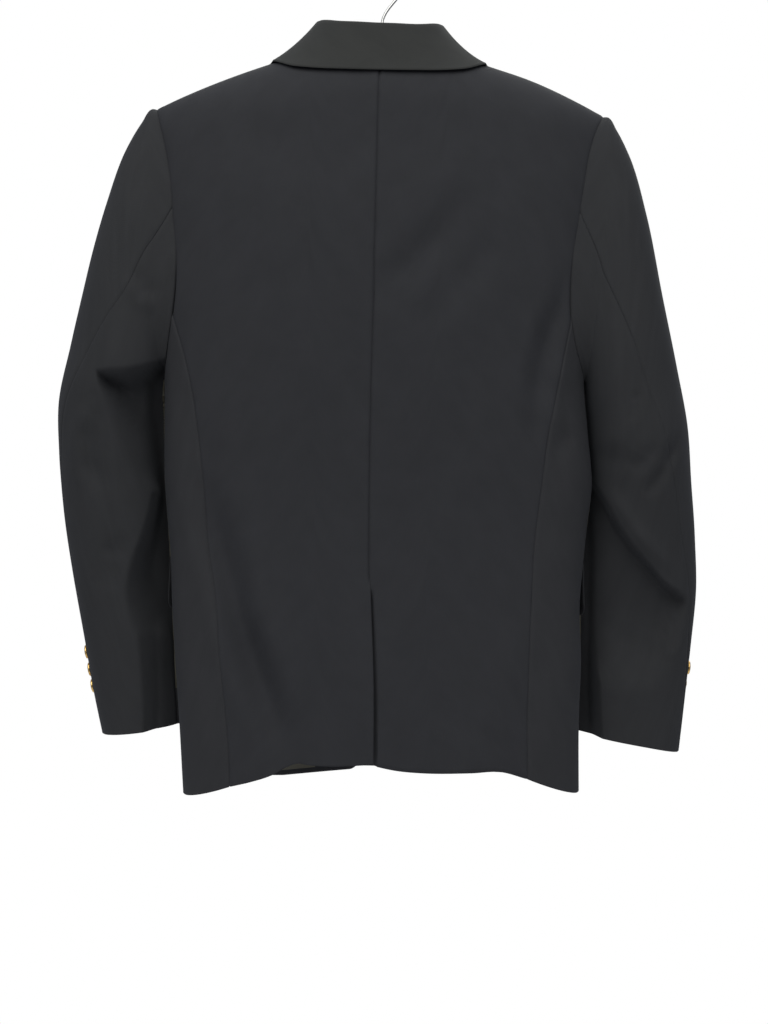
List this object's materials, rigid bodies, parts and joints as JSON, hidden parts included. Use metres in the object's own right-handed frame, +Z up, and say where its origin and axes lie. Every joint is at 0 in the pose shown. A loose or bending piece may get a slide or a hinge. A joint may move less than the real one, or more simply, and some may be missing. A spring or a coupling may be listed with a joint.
{
  "type": "blazer on a hanger",
  "caption": "Tailored single-breasted blazer with notched lapels, flap pockets, centre vent and metal buttons, hanging in its own hollow form from a plain wire-hook hanger.",
  "frame": {"origin": "inside top of the hanger's hook, where it sits on a rail", "axes": "+Z up, -Y out of the garment's front, +X towards the wearer's left"},
  "size_m": [0.6513, 0.1626, 0.8342],
  "materials": {
    "back_wool": "dark navy-grey worsted, matt",
    "front_wool": "dark navy-grey worsted, matt",
    "side_wool": "dark navy-grey worsted, matt",
    "sleeve_upper_wool": "dark navy-grey worsted, matt",
    "sleeve_under_wool": "dark navy-grey worsted, matt",
    "collar_wool": "dark navy-grey worsted, matt",
    "lapel_wool": "dark navy-grey worsted, matt",
    "flap_wool": "dark navy-grey worsted, matt",
    "brass": "polished, slightly worn",
    "hanger_plastic": "smooth black",
    "hanger_wire": "bright wire"
  },
  "bodies": {
    "root": {"back_left": "back_wool", "back_right": "back_wool", "button_cuff_left_1": "brass", "button_cuff_left_2": "brass", "button_cuff_left_3": "brass", "button_cuff_right_1": "brass", "button_cuff_right_2": "brass", "button_cuff_right_3": "brass", "button_front_1": "brass", "button_front_2": "brass", "collar_fall": "collar_wool", "collar_stand": "collar_wool", "flap_left": "flap_wool", "flap_right": "flap_wool", "front_left": "front_wool", "front_right": "front_wool", "hanger_bar": "hanger_plastic", "hanger_hook": "hanger_wire", "lapel_left": "lapel_wool", "lapel_right": "lapel_wool", "side_left": "side_wool", "side_right": "side_wool", "sleeve_under_left": "sleeve_under_wool", "sleeve_under_right": "sleeve_under_wool", "sleeve_upper_left": "sleeve_upper_wool", "sleeve_upper_right": "sleeve_upper_wool"}
  },
  "joints": []
}
